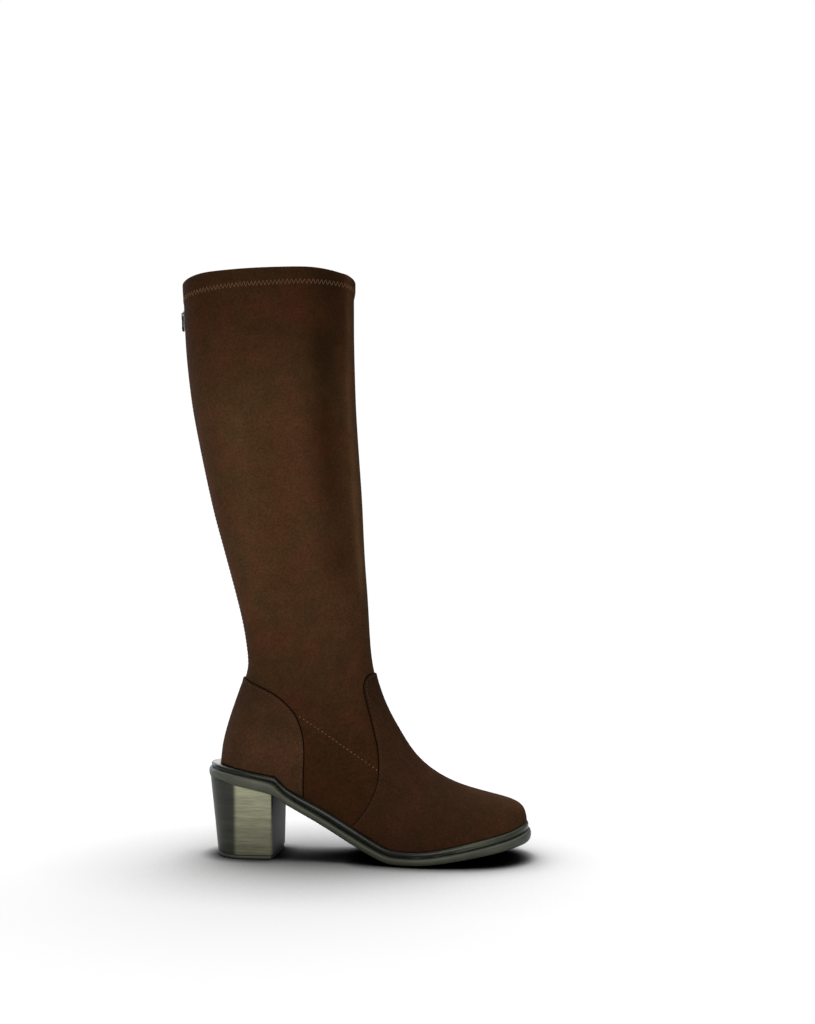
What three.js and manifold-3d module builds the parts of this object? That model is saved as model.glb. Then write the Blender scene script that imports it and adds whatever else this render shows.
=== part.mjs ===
// A knee-high boot for the right foot, as a scene graph of separate solids.
// Millimetres, +Z up, toe towards +X. The outer side of the foot faces -Y.
// The soft upper is one hollow shell made of rings: the lowest follows the sole, the highest is the collar.
import * as THREE from "three";
import { mergeVertices } from "three/addons/utils/BufferGeometryUtils.js";
import Module from "manifold-3d";

const wasm = await Module();
wasm.setup();

// Sole and heel
const lastLength = 233.5;
const ballWidth = 78;
const heelRise = 57.5;
const toeSpring = 13.5;
const outsoleThickness = 6.4;
const seatThickness = 9;
const weltHeight = 4.3;
const heelLip = 11.2;
const sideLip = 5.5;
const toeLip = 5.1;
const heelRound = 26;
const toeRound = 34;
const toePower = 2.5;
const breastDepth = 56;
const breastStep = 10;
const heelTopInset = 3.2;
const heelBottomInset = 9.6;
const heelBottomWidth = 49;
const heelBackRound = 24;
const breastCornerRound = 2.5;
const heelTipThickness = 2.6;
const heelTipInset = 0.5;
const insoleThickness = 3.2;

// Upper
const ankleHeight = 147;
const ankleSetIn = 20.1;
const ankleDepth = 96;
const ankleWidth = 66;
const collarHeight = 446;
const collarSetBack = 57.3;
const collarDepth = 138.2;
const collarSlant = 3.2;
const collarWidth = 103;
const legPower = 2.12;
const wall = 2;
const hemHeight = 12;
const hemExtra = 0.9;
const overlayThickness = 1.2;
const counterLength = 68.5;
const counterHeight = 67.5;

// Zip down the middle of the back
const zipSlotWidth = 9.2;
const zipChainWidth = 5.6;
const zipChainProud = 0.4;
const zipTapeWidth = 22;
const zipTapeThickness = 0.7;
const zipTapeTuck = 8;
const zipTopDrop = 3;
const sliderDrop = 23;
const sliderLength = 10;
const sliderWidth = 8;
const sliderPlate = 0.9;
const bridgeLength = 6.6;
const bridgeWidth = 2;
const bridgeBar = 0.7;
const bridgeOpening = 1.6;
const pullLength = 12.4;
const pullWidth = 6;
const pullThickness = 1;
const pullEyeWidth = 3;

// Clearances and mesh steps
const gap = 0.3;
const bedding = 1;
const slopeStep = 2;
const sideSteps = 22;
const fineSteps = 160;
const turnWeight = 0.16;
const far = 2 * collarHeight;

// Half breadth of the last's bottom along its length, as shares of half the ball width.
const outlineRows = [
  { along: 0, outer: 0.61, inner: 0.61 },
  { along: 0.12, outer: 0.67, inner: 0.67 },
  { along: 0.25, outer: 0.67, inner: 0.63 },
  { along: 0.38, outer: 0.68, inner: 0.56 },
  { along: 0.5, outer: 0.79, inner: 0.67 },
  { along: 0.6, outer: 0.92, inner: 0.85 },
  { along: 0.68, outer: 0.99, inner: 0.97 },
  { along: 0.76, outer: 0.98, inner: 1 },
  { along: 0.86, outer: 0.88, inner: 0.97 },
  { along: 0.94, outer: 0.74, inner: 0.9 },
  { along: 1, outer: 0.6, inner: 0.83 },
];

// Height of the sole's underside: a share of the heel rise behind the ball and of the toe spring before it.
const undersideRows = [
  { along: 0, heel: 1, toe: 0 },
  { along: 0.08, heel: 0.95, toe: 0 },
  { along: 0.16, heel: 0.888, toe: 0 },
  { along: 0.22, heel: 0.83, toe: 0 },
  { along: 0.25, heel: 0.748, toe: 0 },
  { along: 0.285, heel: 0.655, toe: 0 },
  { along: 0.335, heel: 0.55, toe: 0 },
  { along: 0.38, heel: 0.442, toe: 0 },
  { along: 0.425, heel: 0.325, toe: 0 },
  { along: 0.47, heel: 0.212, toe: 0 },
  { along: 0.515, heel: 0.115, toe: 0 },
  { along: 0.55, heel: 0.045, toe: 0 },
  { along: 0.585, heel: 0, toe: 0 },
  { along: 0.67, heel: 0, toe: 0 },
  { along: 0.73, heel: 0, toe: 0.13 },
  { along: 0.81, heel: 0, toe: 0.36 },
  { along: 0.9, heel: 0, toe: 0.66 },
  { along: 1, heel: 0, toe: 1 },
];

// Height of the welt along the sole, as a share of its height at the heel.
const weltRows = [
  { along: 0, height: 1 },
  { along: 0.24, height: 1 },
  { along: 0.36, height: 1.2 },
  { along: 0.5, height: 1.2 },
  { along: 0.62, height: 0.95 },
  { along: 1, height: 0.86 },
];

// Side of the outsole and of the welt, from the bottom up: share of the height, and set in from the edge.
const outsoleEdge = [
  { up: 0, setIn: 3 },
  { up: 0.22, setIn: 1 },
  { up: 0.5, setIn: 0 },
  { up: 0.82, setIn: 0.1 },
  { up: 1, setIn: 1 },
];
const weltEdge = [
  { up: 0.12, setIn: 2.5 },
  { up: 0.4, setIn: 1.8 },
  { up: 0.75, setIn: 2 },
  { up: 1, setIn: 3.2 },
];

// Rings of the foot, from the sole to the ankle. In and up are shares of the way from heel or toe to the ankle.
// Swell widens the foot's own section, level turns the ring from the sole's line to straight,
// and leg turns its section from the foot's arch to the ankle's oval.
const footRows = [
  { backIn: 0, backUp: 0, frontIn: 0, frontUp: 0, swell: 1, level: 0, leg: 0 },
  { backIn: 0.005, backUp: 0.052, frontIn: 0.001, frontUp: 0.05, swell: 1.03, level: 0, leg: 0 },
  { backIn: 0.02, backUp: 0.104, frontIn: 0.012, frontUp: 0.094, swell: 1.05, level: 0, leg: 0 },
  { backIn: 0.044, backUp: 0.156, frontIn: 0.043, frontUp: 0.132, swell: 1.06, level: 0, leg: 0 },
  { backIn: 0.083, backUp: 0.214, frontIn: 0.095, frontUp: 0.156, swell: 1.07, level: 0, leg: 0 },
  { backIn: 0.137, backUp: 0.273, frontIn: 0.165, frontUp: 0.174, swell: 1.07, level: 0, leg: 0 },
  { backIn: 0.205, backUp: 0.338, frontIn: 0.27, frontUp: 0.2, swell: 1.06, level: 0, leg: 0 },
  { backIn: 0.293, backUp: 0.416, frontIn: 0.391, frontUp: 0.231, swell: 1.05, level: 0.05, leg: 0.03 },
  { backIn: 0.39, backUp: 0.494, frontIn: 0.511, frontUp: 0.277, swell: 1.03, level: 0.15, leg: 0.08 },
  { backIn: 0.498, backUp: 0.571, frontIn: 0.631, frontUp: 0.346, swell: 1.02, level: 0.3, leg: 0.16 },
  { backIn: 0.615, backUp: 0.656, frontIn: 0.734, frontUp: 0.44, swell: 1, level: 0.5, leg: 0.28 },
  { backIn: 0.737, backUp: 0.74, frontIn: 0.828, frontUp: 0.586, swell: 0.99, level: 0.7, leg: 0.45 },
  { backIn: 0.854, backUp: 0.825, frontIn: 0.91, frontUp: 0.72, swell: 0.98, level: 0.85, leg: 0.65 },
  { backIn: 0.951, backUp: 0.909, frontIn: 0.966, frontUp: 0.87, swell: 0.98, level: 0.95, leg: 0.85 },
  { backIn: 1, backUp: 1, frontIn: 1, frontUp: 1, swell: 0.98, level: 1, leg: 1 },
];

// Rings of the shaft, from the ankle to the collar, as shares of the change between those two.
// The collar's front stands higher than its back by its slant, and the rings below follow less and less.
const shaftRows = [
  { up: 0.09, back: 0.07, front: 0.13, width: 0.1 },
  { up: 0.18, back: 0.19, front: 0.24, width: 0.26 },
  { up: 0.28, back: 0.345, front: 0.37, width: 0.46 },
  { up: 0.38, back: 0.5, front: 0.5, width: 0.65 },
  { up: 0.48, back: 0.625, front: 0.64, width: 0.8 },
  { up: 0.58, back: 0.735, front: 0.77, width: 0.92 },
  { up: 0.68, back: 0.845, front: 0.9, width: 1 },
  { up: 0.78, back: 0.915, front: 0.94, width: 1.03 },
  { up: 0.88, back: 0.957, front: 0.99, width: 1.02 },
];

// Edge of the vamp from its tip at the ankle to the welt, as shares of the instep's reach and of the ankle height.
const vampEdge = [
  { in: 0.985, up: 0.935 },
  { in: 0.997, up: 0.928 },
  { in: 1.01, up: 0.912 },
  { in: 1.017, up: 0.889 },
  { in: 1.018, up: 0.862 },
  { in: 1.004, up: 0.81 },
  { in: 0.98, up: 0.737 },
  { in: 0.951, up: 0.655 },
  { in: 0.928, up: 0.575 },
  { in: 0.917, up: 0.5 },
  { in: 0.918, up: 0.425 },
  { in: 0.942, up: 0.35 },
  { in: 0.99, up: 0.275 },
  { in: 1.05, up: 0.21 },
  { in: 1.12, up: 0.15 },
];

// Edge of the counter from its tip at the back to the welt, as shares of its length and height.
const counterEdge = [
  { in: 0.13, up: 1 },
  { in: 0.27, up: 0.955 },
  { in: 0.4, up: 0.9 },
  { in: 0.55, up: 0.845 },
  { in: 0.69, up: 0.77 },
  { in: 0.8, up: 0.68 },
  { in: 0.89, up: 0.58 },
  { in: 0.95, up: 0.46 },
  { in: 0.985, up: 0.33 },
  { in: 1, up: 0.18 },
  { in: 1, up: 0 },
  { in: 0.985, up: -0.4 },
];

const lerp = THREE.MathUtils.lerp;

// A smooth curve through a table's rows that never overshoots them.
function curveThrough(xs, ys) {
  const slopes = xs.slice(1).map((x, i) => (ys[i + 1] - ys[i]) / (x - xs[i]));
  const tangents = ys.map((_, i) => {
    if (i === 0) return slopes[0];
    if (i === ys.length - 1) return slopes[i - 1];
    const [before, after] = [slopes[i - 1], slopes[i]];
    return before * after <= 0 ? 0 : (2 * before * after) / (before + after);
  });
  return (x) => {
    const at = THREE.MathUtils.clamp(x, xs[0], xs[xs.length - 1]);
    let i = 0;
    while (i < xs.length - 2 && at > xs[i + 1]) i++;
    const width = xs[i + 1] - xs[i];
    const t = (at - xs[i]) / width;
    const s = 1 - t;
    return (
      ys[i] * s * s * (1 + 2 * t) +
      ys[i + 1] * t * t * (3 - 2 * t) +
      width * t * s * (tangents[i] * s - tangents[i + 1] * t)
    );
  };
}

// Goes from 0 at an end to 1 at the given reach from it, as a round corner does.
function roundEnd(distance, reach, power) {
  const left = 1 - THREE.MathUtils.clamp(distance / reach, 0, 1);
  return (1 - left ** power) ** (1 / power);
}

// The sole's curves along the boot. The last's heel stands one heel lip in from the sole's back.
const heelX = heelLip;
const toeX = heelX + lastLength;
const soleLength = toeX + toeLip;
const columnOf = (rows, name) => rows.map((row) => row[name]);
const breadthCurves = ["outer", "inner"].map((name) =>
  curveThrough(
    columnOf(outlineRows, "along").map((share) => heelX + share * lastLength),
    columnOf(outlineRows, name).map((share) => (share * ballWidth) / 2),
  ),
);
const breadthAt = (x, side) => breadthCurves[side < 0 ? 0 : 1](x);
const undersideAt = curveThrough(
  columnOf(undersideRows, "along").map((share) => share * soleLength),
  undersideRows.map((row) => row.heel * heelRise + row.toe * toeSpring),
);
const slopeAt = (x) => (undersideAt(x + slopeStep) - undersideAt(x - slopeStep)) / (2 * slopeStep);
const tiltAt = (x) => Math.hypot(1, slopeAt(x));
const thicknessAt = curveThrough(
  [0, breastDepth, breastDepth + breastStep, soleLength],
  [seatThickness, seatThickness, outsoleThickness, outsoleThickness],
);
const weltHeightAt = curveThrough(
  columnOf(weltRows, "along").map((share) => share * soleLength),
  columnOf(weltRows, "height").map((share) => share * weltHeight),
);
const outsoleTopAt = (x) => undersideAt(x) + thicknessAt(x) * tiltAt(x);
const featherAt = (x) => outsoleTopAt(x) + weltHeightAt(x) * tiltAt(x);
const lipAt = curveThrough(
  [heelX, heelX + heelRound, toeX - toeRound / 2, toeX],
  [heelLip, sideLip, sideLip, toeLip],
);

// Shares points out along a line, evenly by its length and by how far it turns.
function shareOut(line, steps) {
  const reach = line.slice(1).reduce((sum, p, i) => sum + p.distanceTo(line[i]), 0);
  const passed = [0];
  for (let i = 1; i < line.length; i++) {
    const step = line[i].clone().sub(line[i - 1]);
    const before = i > 1 ? line[i - 1].clone().sub(line[i - 2]) : step;
    passed.push(passed[i - 1] + step.length() / reach + turnWeight * before.angleTo(step));
  }
  const total = passed[passed.length - 1];
  const points = [];
  for (let k = 0, i = 0; k <= steps; k++) {
    const wanted = (total * k) / steps;
    while (i < line.length - 2 && passed[i + 1] < wanted) i++;
    const t = (wanted - passed[i]) / (passed[i + 1] - passed[i]);
    points.push(line[i].clone().lerp(line[i + 1], Math.min(t, 1)));
  }
  return points;
}

// A closed ring from the middle of the back, along the outer side to the front, and back along the inner side.
function ring(back, front, halfAt, heightAt) {
  const [outer, inner] = [-1, 1].map((side) => {
    const line = [];
    for (let i = 0; i <= fineSteps; i++) {
      const x = lerp(back, front, (1 - Math.cos((Math.PI * i) / fineSteps)) / 2);
      const end = i === 0 || i === fineSteps;
      line.push(new THREE.Vector3(x, end ? 0 : side * halfAt(x, side), heightAt(x)));
    }
    return shareOut(line, sideSteps);
  });
  return [...outer, ...inner.slice(1, -1).reverse()];
}

// A ring pushed outwards in plan, by a distance that may follow x, at new heights.
function pushed(points, distanceAt, heightAt) {
  const count = points.length;
  return points.map((p, i) => {
    const along = points[(i + 1) % count].clone().sub(points[(i + count - 1) % count]);
    const out = new THREE.Vector3(along.y, -along.x, 0).normalize();
    const moved = p.clone().addScaledVector(out, distanceAt(p.x));
    return moved.setZ(heightAt(moved.x));
  });
}

// A closed solid through rings of equal count. Open ends get caps, and a closed loft joins its last ring to its first.
// Rows from the turn on run back down, so their quads are split along the same diagonal as the rows going up.
function loft(rings, closed = false, turn = Infinity) {
  const count = rings[0].length;
  const index = [];
  const at = (row, i) => (row % rings.length) * count + ((i + count) % count);
  for (let row = 0; row < (closed ? rings.length : rings.length - 1); row++) {
    for (let i = 0; i < count; i++) {
      const corners = [at(row, i), at(row, i + 1), at(row + 1, i + 1), at(row + 1, i)];
      const [a, b, c, d] = row < turn ? corners : [...corners.slice(1), corners[0]];
      index.push(a, b, c, a, c, d);
    }
  }
  if (!closed) {
    const top = rings.length - 1;
    for (let i = 0; i < count / 2; i++) {
      if (i < count / 2 - 1) {
        index.push(at(top, i), at(top, i + 1), at(top, -i - 1));
        index.push(at(0, i), at(0, -i - 1), at(0, i + 1));
      }
      if (i > 0) {
        index.push(at(top, i), at(top, -i - 1), at(top, -i));
        index.push(at(0, i), at(0, -i), at(0, -i - 1));
      }
    }
  }
  const positions = rings.flat().flatMap((p) => [p.x, p.y, p.z]);
  const geometry = new THREE.BufferGeometry();
  geometry.setAttribute("position", new THREE.Float32BufferAttribute(positions, 3));
  return geometry.setIndex(index);
}

// Between three.js geometry and solids for cutting and joining.
function solidOf(geometry) {
  const bare = geometry.clone();
  bare.deleteAttribute("normal");
  bare.deleteAttribute("uv");
  const merged = mergeVertices(bare, 1e-4);
  return new wasm.Manifold(
    new wasm.Mesh({
      numProp: 3,
      vertProperties: merged.attributes.position.array,
      triVerts: new Uint32Array(merged.index.array),
    }),
  );
}

function geometryOf(solid) {
  const mesh = solid.getMesh();
  const geometry = new THREE.BufferGeometry();
  geometry.setAttribute("position", new THREE.BufferAttribute(mesh.vertProperties, 3));
  geometry.setIndex(new THREE.BufferAttribute(mesh.triVerts, 1));
  const faceted = geometry.toNonIndexed();
  faceted.computeVertexNormals();
  return faceted;
}

// A box between two corners.
function boxBetween(low, high) {
  const size = high.map((value, i) => value - low[i]);
  const middle = high.map((value, i) => (value + low[i]) / 2);
  return new THREE.BoxGeometry(...size).translate(...middle);
}

// A flat outline in the side view, given as x and z, run through the whole width of the boot.
function throughWidth(outline) {
  const shape = new THREE.Shape(outline.map(([x, z]) => new THREE.Vector2(x, z)));
  const depth = 2 * ballWidth;
  const plate = new THREE.ExtrudeGeometry(shape, { depth, bevelEnabled: false });
  return plate.rotateX(Math.PI / 2).translate(0, depth / 2, 0);
}

// The upper's outer face
const seatZ = featherAt(heelX);
const toeZ = featherAt(toeX);
const ankleBackX = heelX + ankleSetIn;
const ankleFrontX = ankleBackX + ankleDepth;
const collarBackX = ankleBackX - collarSetBack;
const collarFrontX = collarBackX + collarDepth;
const legLength = collarHeight - ankleHeight;

const footEnds = footRows.map((row) => ({
  ...row,
  backX: lerp(heelX, ankleBackX, row.backIn),
  backZ: lerp(seatZ, ankleHeight, row.backUp),
  frontX: lerp(toeX, ankleFrontX, row.frontIn),
  frontZ: lerp(toeZ, ankleHeight, row.frontUp),
}));
const ridgeRows = [...footEnds].reverse();
const ridgeCurve = curveThrough(columnOf(ridgeRows, "frontX"), columnOf(ridgeRows, "frontZ"));
const shinSlope = 12;
const ridgeAt = (x) => ridgeCurve(x) + shinSlope * Math.max(0, ankleFrontX - x);

// The foot's cross-section: how much of its half breadth is left at a share of the height to the ridge.
function archAt(share, x) {
  const toToe = THREE.MathUtils.clamp((x - ankleFrontX) / (toeX - ankleFrontX), 0, 1);
  const rise = lerp(1.75, 2.3, toToe);
  const fall = lerp(1.85, 2.25, toToe);
  return (1 - Math.min(share, 1) ** rise) ** (1 / fall);
}

// The leg's cross-section: a slightly squared oval from back to front.
function ovalAt(x, back, front) {
  const fromMiddle = Math.min(1, Math.abs(2 * x - back - front) / (front - back));
  return (1 - fromMiddle ** legPower) ** (1 / legPower);
}

function footRing(row) {
  const { backX, backZ, frontX, frontZ } = row;
  const backOver = backZ - featherAt(backX);
  const frontOver = frontZ - featherAt(frontX);
  const heightAt = (x) => {
    const t = (x - backX) / (frontX - backX);
    const alongSole = featherAt(x) + lerp(backOver, frontOver, t);
    return lerp(alongSole, lerp(backZ, frontZ, t), row.level);
  };
  const halfAt = (x, side) => {
    const over = (heightAt(x) - featherAt(x)) / (ridgeAt(x) - featherAt(x));
    const heel = roundEnd(x - backX, heelRound, 2);
    const toe = roundEnd(toeX - x, toeRound, toePower);
    const foot = breadthAt(x, side) * row.swell * heel * toe * archAt(Math.max(over, 0), x);
    return lerp(foot, (ankleWidth / 2) * ovalAt(x, backX, frontX), row.leg);
  };
  return ring(backX, frontX, halfAt, heightAt);
}

function shaftRing(row) {
  const back = lerp(ankleBackX, collarBackX, row.back);
  const front = lerp(ankleFrontX, collarFrontX, row.front);
  const half = lerp(ankleWidth, collarWidth, row.width) / 2;
  const slant = collarSlant * row.up ** 2;
  const heightAt = (x) => ankleHeight + row.up * legLength + slant * ((x - back) / (front - back) - 0.5);
  return ring(back, front, (x) => half * ovalAt(x, back, front), heightAt);
}

const feather = footRing(footEnds[0]);
const hemShare = 1 - hemHeight / legLength;
const hemRow = { up: hemShare, back: lerp(0.957, 1, 0.6), front: 1, width: 1.01 };
const collarRow = { up: 1, back: 1, front: 1, width: 1 };
const face = [
  pushed(feather, () => 0, (x) => outsoleTopAt(x) - bedding),
  feather,
  ...footEnds.slice(1).map(footRing),
  ...[...shaftRows, hemRow, collarRow].map(shaftRing),
];
const hemRing = face.length - 2;

// Outward directions of the upper's face at each of its points.
const outward = face.map((points, row) =>
  points.map((_, i) => {
    const count = points.length;
    const along = points[(i + 1) % count].clone().sub(points[(i + count - 1) % count]);
    const up = face[Math.min(row + 1, face.length - 1)][i].clone().sub(face[Math.max(row - 1, 0)][i]);
    return along.cross(up).normalize();
  }),
);
const faceMoved = (row, distance) => face[row].map((p, i) => p.clone().addScaledVector(outward[row][i], distance));
const faceRows = face.map((_, row) => row);

// A shell between two distances from the upper's face.
function shellBetween(inside, outside) {
  const outer = faceRows.map((row) => faceMoved(row, outside));
  const inner = faceRows.map((row) => faceMoved(row, inside)).reverse();
  return solidOf(loft([...outer, ...inner], true, outer.length));
}

// Sole pieces
const soleRing = (setIn, heightAt) => pushed(feather, (x) => lipAt(x) - setIn, heightAt);
const outsole = solidOf(
  loft(
    outsoleEdge.map(({ up, setIn }) => soleRing(setIn, (x) => lerp(undersideAt(x), outsoleTopAt(x), up))),
  ),
);
const bedCut = outsole.translate([0, 0, gap]);

function makeWelt() {
  const bottom = (x) => outsoleTopAt(x) - bedding;
  const outer = weltEdge.map(({ up, setIn }) => soleRing(setIn, (x) => lerp(outsoleTopAt(x), featherAt(x), up)));
  const foot = soleRing(weltEdge[0].setIn, bottom);
  const inner = [pushed(feather, () => gap, featherAt), pushed(feather, () => gap, bottom)];
  return solidOf(loft([foot, ...outer, ...inner], true)).subtract(bedCut);
}

function makeInsole() {
  const edge = (setIn, heightAt) => pushed(feather, () => -wall - gap - setIn, heightAt);
  const rise = (share) => (x) => outsoleTopAt(x) + gap + insoleThickness * share;
  return solidOf(
    loft([edge(0, (x) => outsoleTopAt(x) - bedding), edge(0, rise(0.7)), edge(0.8, rise(1))]),
  ).subtract(bedCut);
}

// The heel block, from the tip to the seat, set in from the sole's edge and cut by the sole that it carries.
function heelRing(share, setIn, heightAt) {
  const back = lerp(heelBottomInset, heelTopInset, share) + setIn;
  const front = breastDepth - setIn;
  const topWidth = 2 * (breadthAt(breastDepth, -1) + sideLip - heelTopInset);
  const half = lerp(heelBottomWidth, topWidth, share) / 2 - setIn;
  const halfAt = (x) =>
    half * roundEnd(x - back, heelBackRound, 2) - breastCornerRound * (1 - roundEnd(front - x, breastCornerRound, 2));
  return ring(back, front, halfAt, heightAt);
}

function makeHeel() {
  const bottom = heelTipThickness + gap;
  const shares = [0, 0.5, 1];
  const seatCut = outsole.translate([0, 0, -gap]);
  const rings = shares.map((share) =>
    heelRing(share, 0, (x) => lerp(bottom, undersideAt(x) + seatThickness / 2, share)),
  );
  return solidOf(loft(rings)).subtract(seatCut);
}

const makeHeelTip = () =>
  solidOf(loft([0, heelTipThickness].map((height) => heelRing(0, heelTipInset, () => height))));

// Upper pieces
const counterTop = seatZ + counterHeight;
const zipBottom = counterTop + gap;
const zipTop = collarHeight - zipTopDrop;
const backHalf = (width, low, high) =>
  solidOf(boxBetween([-far, -width / 2, low], [lerp(collarBackX, collarFrontX, 0.5), width / 2, high]));

function makeUpper() {
  const outer = faceRows.map((row) => faceMoved(row, 0));
  const inner = faceRows.slice(0, hemRing + 1).map((row) => faceMoved(row, -wall));
  const hem = [hemRing, hemRing + 1].map((row) => faceMoved(row, -wall - hemExtra));
  const rings = [...outer, ...[...inner, ...hem].reverse()];
  const slot = backHalf(zipSlotWidth, zipBottom - gap, far);
  return solidOf(loft(rings, true, outer.length)).subtract(bedCut).subtract(slot);
}

// The welt's line in the side view, just above the welt, from one x to another.
function weltLine(from, to) {
  const [low, high] = [Math.min(from, to), Math.max(from, to)];
  const side = feather.slice(0, sideSteps + 1).filter((p) => p.x > low + bedding && p.x < high - bedding);
  const line = [low, ...columnOf(side, "x"), high].map((x) => [x, featherAt(x) + 2 * gap]);
  return from < to ? line : line.reverse();
}

// A curved edge drawn through a table's points, cut off where it meets the welt.
function edgeAbove(points) {
  const curve = new THREE.SplineCurve(points.map(([x, z]) => new THREE.Vector2(x, z)));
  const drawn = curve.getPoints(Math.round(1.5 * points.length)).map((p) => [p.x, p.y]);
  return drawn.filter(([x, z]) => z > featherAt(x) + 3 * gap);
}

const overlayShell = shellBetween(gap, gap + overlayThickness);

function makeVamp() {
  const reach = toeX - ankleFrontX;
  const edge = edgeAbove(vampEdge.map((row) => [toeX - row.in * reach, row.up * ankleHeight]));
  const low = edge[edge.length - 1];
  const beyond = soleLength + sideLip;
  const outline = [...edge, ...weltLine(low[0], beyond), [beyond, edge[0][1]]];
  return overlayShell.intersect(solidOf(throughWidth(outline)));
}

function makeCounter() {
  const edge = edgeAbove(counterEdge.map((row) => [heelX + row.in * counterLength, seatZ + row.up * counterHeight]));
  const low = edge[edge.length - 1];
  const beyond = -collarSetBack;
  const outline = [[beyond, edge[0][1]], ...edge, ...weltLine(low[0], beyond)];
  return overlayShell.intersect(solidOf(throughWidth(outline)));
}

// Zip pieces
const tapeDepth = wall + gap;
const makeZipTape = () =>
  shellBetween(-tapeDepth - zipTapeThickness, -tapeDepth).intersect(
    backHalf(zipTapeWidth, zipBottom - zipTapeTuck, collarHeight - hemHeight - collarSlant / 2 - 2 * gap),
  );
const makeZipChain = () =>
  shellBetween(-wall, zipChainProud).intersect(backHalf(zipChainWidth, zipBottom, zipTop));

// The slider rides on the chain. Its own frame has its origin on the upper's face, +X out of the back, +Z up the zip.
const plateLow = zipChainProud + gap;
const plateHigh = plateLow + sliderPlate;
const axisDepth = plateHigh + gap + pullThickness / 2;

// An outline drawn in the zip's own plane, made solid from one depth to another.
function upright(outline, low, high) {
  const turned = new THREE.Matrix4().makeBasis(
    new THREE.Vector3(0, 1, 0),
    new THREE.Vector3(0, 0, 1),
    new THREE.Vector3(1, 0, 0),
  );
  const plate = new THREE.ExtrudeGeometry(outline, { depth: high - low, bevelEnabled: false });
  return plate.applyMatrix4(turned).translate(low, 0, 0);
}

function makeSlider() {
  const half = sliderWidth / 2;
  const inside = zipChainWidth / 2 + gap;
  const tall = sliderLength / 2;
  const corner = sliderWidth / 4;
  const outline = new THREE.Shape()
    .moveTo(-half + corner, -tall)
    .lineTo(half - corner, -tall)
    .lineTo(half - corner / 2, -tall + corner)
    .lineTo(half, tall - corner)
    .lineTo(half - corner, tall)
    .lineTo(-half + corner, tall)
    .lineTo(-half, tall - corner)
    .lineTo(-half + corner / 2, -tall + corner);
  const body = upright(outline, -wall / 2, plateHigh);
  const channel = boxBetween([-wall, -inside, -tall - wall], [plateLow, inside, tall + wall]);
  const [reach, side] = [bridgeLength / 2, bridgeWidth / 2];
  const top = plateHigh + bridgeOpening + bridgeBar;
  const bridge = new THREE.Shape()
    .moveTo(plateHigh - bridgeBar / 2, -reach)
    .lineTo(top - bridgeBar, -reach)
    .lineTo(top, -reach + bridgeBar)
    .lineTo(top, reach - bridgeBar)
    .lineTo(top - bridgeBar, reach)
    .lineTo(plateHigh - bridgeBar / 2, reach);
  const bridgeBlock = new THREE.ExtrudeGeometry(bridge, { depth: bridgeWidth, bevelEnabled: false })
    .rotateX(Math.PI / 2)
    .translate(0, side, 0);
  const window = boxBetween([plateHigh, -bridgeWidth, bridgeBar - reach], [top - bridgeBar, bridgeWidth, reach - bridgeBar]);
  return solidOf(body).subtract(solidOf(channel)).add(solidOf(bridgeBlock).subtract(solidOf(window)));
}

// The pull hangs from a round bar under the bridge. Its frame has its origin on that bar, +X out of the back.
function makePull() {
  const [half, eye] = [pullWidth / 2, pullEyeWidth / 2];
  const eyeDrop = bridgeLength / 2 + 2 * gap + pullThickness / 2;
  const end = pullThickness / 2 - pullLength;
  const taper = pullWidth / 4;
  const outline = new THREE.Shape()
    .moveTo(-half, -eyeDrop)
    .lineTo(-half + taper / 2, end + taper)
    .lineTo(-half + taper, end)
    .lineTo(half - taper, end)
    .lineTo(half - taper / 2, end + taper)
    .lineTo(half, -eyeDrop)
    .lineTo(half - taper / 2, 0)
    .lineTo(-half + taper / 2, 0);
  const plate = upright(outline, -pullThickness / 2, pullThickness / 2);
  const hole = boxBetween([-pullThickness, -eye, -eyeDrop], [pullThickness, eye, pullThickness]);
  const bar = new THREE.CylinderGeometry(pullThickness / 2, pullThickness / 2, pullWidth - taper, 12);
  return solidOf(plate).subtract(solidOf(hole)).add(solidOf(bar));
}

// Where a height meets the middle of the upper's back, and how far the back leans there.
function backAt(height) {
  const line = face.map((points) => points[0]);
  const row = line.findIndex((p) => p.z > height);
  const [low, high] = [line[row - 1], line[row]];
  const point = low.clone().lerp(high, (height - low.z) / (high.z - low.z));
  return { point, lean: Math.atan2(high.x - low.x, high.z - low.z) };
}

// Materials
const suede = new THREE.MeshStandardMaterial({ color: 0x3f2a1c, roughness: 0.95, metalness: 0 });
const stretchSuede = new THREE.MeshStandardMaterial({ color: 0x412b1d, roughness: 0.95, metalness: 0 });
const soleRubber = new THREE.MeshStandardMaterial({ color: 0x4a4b3f, roughness: 0.45, metalness: 0 });
const weltRubber = new THREE.MeshStandardMaterial({ color: 0x23251f, roughness: 0.3, metalness: 0 });
const stackedHeel = new THREE.MeshStandardMaterial({ color: 0x5b5c4b, roughness: 0.35, metalness: 0 });
const tipRubber = new THREE.MeshStandardMaterial({ color: 0x14140f, roughness: 0.8, metalness: 0 });
const lining = new THREE.MeshStandardMaterial({ color: 0x2b2019, roughness: 0.9, metalness: 0 });
const zipCloth = new THREE.MeshStandardMaterial({ color: 0x1d1a17, roughness: 0.9, metalness: 0 });
const zipNylon = new THREE.MeshStandardMaterial({ color: 0x2b2f2c, roughness: 0.5, metalness: 0 });
const nickel = new THREE.MeshStandardMaterial({ color: 0x9a9c9c, roughness: 0.3, metalness: 1 });
const gunmetal = new THREE.MeshStandardMaterial({ color: 0x2e3030, roughness: 0.35, metalness: 1 });

function named(name, solid, material) {
  const mesh = new THREE.Mesh(geometryOf(solid), material);
  mesh.name = name;
  return mesh;
}

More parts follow.
